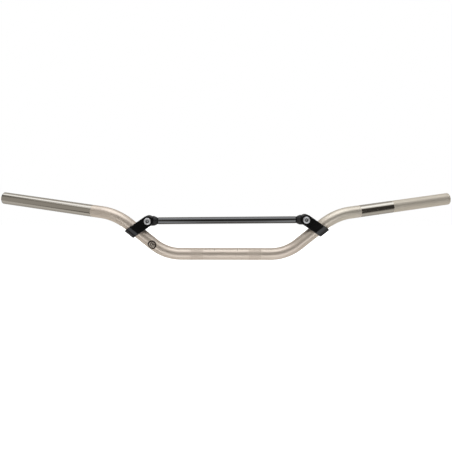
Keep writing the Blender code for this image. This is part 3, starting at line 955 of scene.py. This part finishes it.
def nut_mesh(name, low, high, flats, bore):
    """A hexagon nut along Y with both faces chamfered.

    The outer radius at an angle is the hexagon's, cut back to a cone near either face.
    """
    sides = 144
    around = np.linspace(0, TURN, sides, endpoint=False)
    fold = (around + math.pi / 6) % (math.pi / 3) - math.pi / 6
    hexagon = flats / 2 / np.cos(fold)
    face_r = flats / 2 * 0.97
    slope = math.tan(math.radians(60))
    tall, rim = high - low, 1.2 * MM
    levels = np.concatenate([np.linspace(0, rim, 9), np.linspace(rim, tall - rim, 4)[1:-1],
                             np.linspace(tall - rim, tall, 9)])
    from_face = np.minimum(levels, tall - levels)
    outer = np.minimum(hexagon, face_r + from_face[:, None] * slope)
    bevel = 0.7 * MM
    inner_r = np.array([bore + bevel, bore, bore, bore + bevel])
    inner_y = np.array([tall, tall - bevel, bevel, 0])
    radius = np.vstack([outer, np.broadcast_to(inner_r[:, None], (4, sides))])
    height = np.concatenate([levels, inner_y]) + low
    points = np.stack([radius * np.cos(around), np.broadcast_to(height[:, None], radius.shape),
                       radius * np.sin(around)], axis=-1)
    return finish(grid_mesh(name, points, wrap_rows=True), 25)


class HANDLEBAR_OT_fasteners(Operator):
    """Makes the pivot bolts and nuts and finishes the washers and sleeves"""
    bl_idname = "handlebar.fasteners"
    bl_label = "Fasteners"

    def execute(self, context):
        fastener = context.scene.handlebar_fastener
        # the socket attribute paints shade into each bolt's hexagon socket
        zinc = plain_metal("bright_steel", fastener.zinc, 0.48, 0.000012, 1.0, 900.0,
                           painted_shade_where="socket")
        dull = plain_metal("washer_steel", tint(fastener.zinc, 0.8), 0.34)
        turned_steel = plain_metal("sleeve_steel", tint(fastener.zinc, 0.7), 0.38)
        for side in SIDES:
            upright = Matrix.Translation(PIVOT[side])
            body = f"clamp_{side}"
            low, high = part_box(f"pivot_bolt_{side}")
            washer_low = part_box(f"head_washer_{side}")[0].y
            name = f"pivot_bolt_{side}_steel"
            profile = bolt_profile(fastener, low.y, high.y, (high.x - low.x) / 2,
                                   washer_low - GAP)
            shaft = turned(name, profile)
            mesh = soften(carve(shaft, *self.socket(fastener, low.y)), 0.15 * MM, 2, 45)
            # marks the socket, where the steel gets painted shade
            self.mark_socket_shade(mesh, fastener, low.y)
            mesh.transform(upright)
            show(name, mesh, zinc, body, [f"pivot_bolt_{side}"])
            low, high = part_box(f"pivot_nut_{side}")
            name = f"pivot_nut_{side}_steel"
            mesh = nut_mesh(name, low.y, high.y, high.z - low.z, NUT_BORE_R)
            mesh.transform(upright)
            show(name, mesh, zinc, body, [f"pivot_nut_{side}"])
            for node, steel in (("head_washer", dull), ("nut_washer", dull),
                                ("pivot_sleeve", turned_steel)):
                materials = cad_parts[f"{node}_{side}"].data.materials
                materials.clear()
                materials.append(steel)
        return {"FINISHED"}

    def socket(self, fastener, face):
        """A hexagon plug, and the cone that a drill leaves at its end."""
        radius = fastener.socket / 2 / math.cos(math.pi / 6)
        corners = arc(radius, 0, TURN * 5 / 6, TURN / 6)
        floor, drill_r = face + fastener.socket_depth, fastener.socket * 0.4
        cone = [(0, floor - MM), (drill_r, floor - MM), (drill_r, floor), (0, floor + 0.9 * MM)]
        return (prism("socket", corners, face - MM, floor, DRAWN_ALONG_Y),
                turned("drill_cone", cone, sides=24))

    def mark_socket_shade(self, mesh, fastener, face):
        """Gives each point in the socket the value 1, apart from the cone's tip; the steel paints
        shade there, standing in for the socket's own shade.
        """
        points = np.empty(len(mesh.vertices) * 3, np.float32)
        mesh.vertices.foreach_get("co", points)
        x, y, z = points.reshape(-1, 3).T
        away = np.hypot(x, z)
        inside = (away < fastener.socket * 0.6) & (away > 0.2 * MM)
        inside &= (y > face + 0.3 * MM) & (y < face + fastener.socket_depth + MM)
        layer = mesh.attributes.new("socket", "FLOAT", "POINT")
        layer.data.foreach_set("value", inside.astype(np.float32))


# ---- stage ----
PANEL_SOFT = (9.0, 8.0)  # soft edges of a panel across and up, in degrees
AMBIENT_LEVEL = 0.03
REAR_LEVEL = 0.46
REAR_DIM_LEVEL = 0.12
CEILING_LEVEL = 1.53
FLOOR_LEVEL = 0.38
WARM_SHADE = (1.0, 0.94, 0.86)
COOL_LIGHT = (0.975, 1.0, 1.04)
LIGHT_PANELS = (  # azimuth from the front, elevation, half width, half height, strength
    (-38, 66, 82, 9, 1.28),
    (83, 66, 39, 4.5, 1.68),
    (13.5, 53, 66, 11.5, 0.98),
    (25, -35, 9, 32, 1.62),
    (-22, -42.5, 8, 25, 1.62),
    (0, -40, 14, 19, 0.88),
    (-40, 2.5, 25, 31, 0.33),
    (3, 27, 35.5, 19, 0.08),
    (79.5, -50.5, 24.5, 39.5, 0.5),
    (-81, -45.5, 21.5, 20, 0.56),
)


class HANDLEBAR_OT_stage(Operator):
    """Sets the pale floor, the soft studio light and the camera"""
    bl_idname = "handlebar.stage"
    bl_label = "Stage"

    def execute(self, context):
        stage = context.scene.handlebar_stage
        context.scene.view_settings.view_transform = "Standard"
        self.floor(stage)
        self.light()
        self.camera(stage)
        return {"FINISHED"}

    def floor(self, stage):
        half = 6.0
        corners = np.array([[-half, -half], [half, -half], [half, half], [-half, half]])
        mesh = prism("floor", corners, -stage.floor_drop - 0.02, -stage.floor_drop, DRAWN_ALONG_Z)
        floor = placed("floor", mesh)
        n = Finish("pale_floor")
        mesh.materials.append(n.surface(Base_Color=stage.floor, Roughness=0.9,
                                        Emission_Color=stage.floor, Emission_Strength=1.0))
        floor.visible_glossy = False
        floor.visible_diffuse = False
        floor.visible_shadow = False

    def light(self):
        """Studio surroundings made of soft panels, placed by direction."""
        world = bpy.data.worlds.new("studio")
        bpy.context.scene.world = world
        world.use_nodes = True
        n = Nodes(world.node_tree)
        n.tree.nodes.clear()
        way = n.add("TexCoord").outputs["Generated"]
        x, y, z = n.add("SeparateXYZ", {"Vector": way}).outputs
        azimuth = n.maths("DEGREES", n.maths("ARCTAN2", x, n.times(y, -1.0)))
        elevation = n.maths("DEGREES", n.maths("ARCSINE", z))
        behind = n.times(n.ramp(y, -0.05, 0.35),
                         n.scaled(n.between(elevation, -25, 22, 12), REAR_LEVEL, REAR_DIM_LEVEL))
        level = n.plus(behind, AMBIENT_LEVEL)
        level = n.maths("MULTIPLY_ADD", n.ramp(elevation, 66, 84), CEILING_LEVEL, level)
        level = n.maths("MULTIPLY_ADD", n.ramp(elevation, -50, -76), FLOOR_LEVEL, level)
        for middle, height, half_width, half_height, strength in LIGHT_PANELS:
            across = n.between(azimuth, middle - half_width, middle + half_width, PANEL_SOFT[0])
            up = n.between(elevation, height - half_height, height + half_height, PANEL_SOFT[1])
            level = n.maths("MULTIPLY_ADD", n.times(across, up), strength, level)
        tone = n.mix(n.ramp(level, 0.0, 1.2), WARM_SHADE, COOL_LIGHT)
        studio = n.add("Background", {"Color": tone, "Strength": level})
        backdrop = n.add("Background", {"Color": (1, 1, 1), "Strength": 1.0})
        seen = n.add("LightPath").outputs["Is Camera Ray"]
        mix = n.add("MixShader", {0: seen, 1: studio.outputs[0], 2: backdrop.outputs[0]})
        n.add("OutputWorld", {"Surface": mix.outputs[0]})

    def camera(self, stage):
        lens = bpy.data.cameras.new("camera")
        lens.lens = stage.lens
        lens.sensor_width = 36.0
        lens.clip_start = 0.01
        camera = placed("camera", lens)
        camera.matrix_world = (
            Matrix.Translation((stage.camera_aside, -stage.camera_distance, stage.camera_height))
            @ Matrix.Rotation(stage.camera_pan, 4, "Z")
            @ Matrix.Rotation(stage.camera_tilt, 4, "X")
            @ Matrix.Rotation(stage.camera_roll, 4, "Z"))
        bpy.context.scene.camera = camera


# ---- add-on ----
SETTINGS = {
    "handlebar_tube": TubeSettings,
    "handlebar_clamp": ClampSettings,
    "handlebar_crossbar": CrossbarSettings,
    "handlebar_fastener": FastenerSettings,
    "handlebar_stage": StageSettings,
}
OPERATORS = (
    HANDLEBAR_OT_stage,
    HANDLEBAR_OT_main_tube,
    HANDLEBAR_OT_knurls,
    HANDLEBAR_OT_clamps,
    HANDLEBAR_OT_crossbar,
    HANDLEBAR_OT_fasteners,
)


class HANDLEBAR_PT_parts(Panel):
    """Lists the pieces of the handlebar and their sizes"""
    bl_idname = "HANDLEBAR_PT_parts"
    bl_label = "Handlebar"
    bl_space_type = "VIEW_3D"
    bl_region_type = "UI"
    bl_category = "Handlebar"

    def draw(self, context):
        for key, group in SETTINGS.items():
            column = self.layout.column(align=True)
            for name in group.__annotations__:
                column.prop(getattr(context.scene, key), name)
        for operator in OPERATORS:
            self.layout.operator(operator.bl_idname)


def register():
    for group in SETTINGS.values():
        bpy.utils.register_class(group)
    for operator in OPERATORS:
        bpy.utils.register_class(operator)
    bpy.utils.register_class(HANDLEBAR_PT_parts)
    for key, group in SETTINGS.items():
        setattr(Scene, key, PointerProperty(type=group))


def unregister():
    for key in SETTINGS:
        delattr(Scene, key)
    bpy.utils.unregister_class(HANDLEBAR_PT_parts)
    for cls in reversed((*SETTINGS.values(), *OPERATORS)):
        bpy.utils.unregister_class(cls)


def main():
    register()
    for operator in OPERATORS:
        group, name = operator.bl_idname.split(".")
        getattr(getattr(bpy.ops, group), name)()


if __name__ == "__main__":
    main()
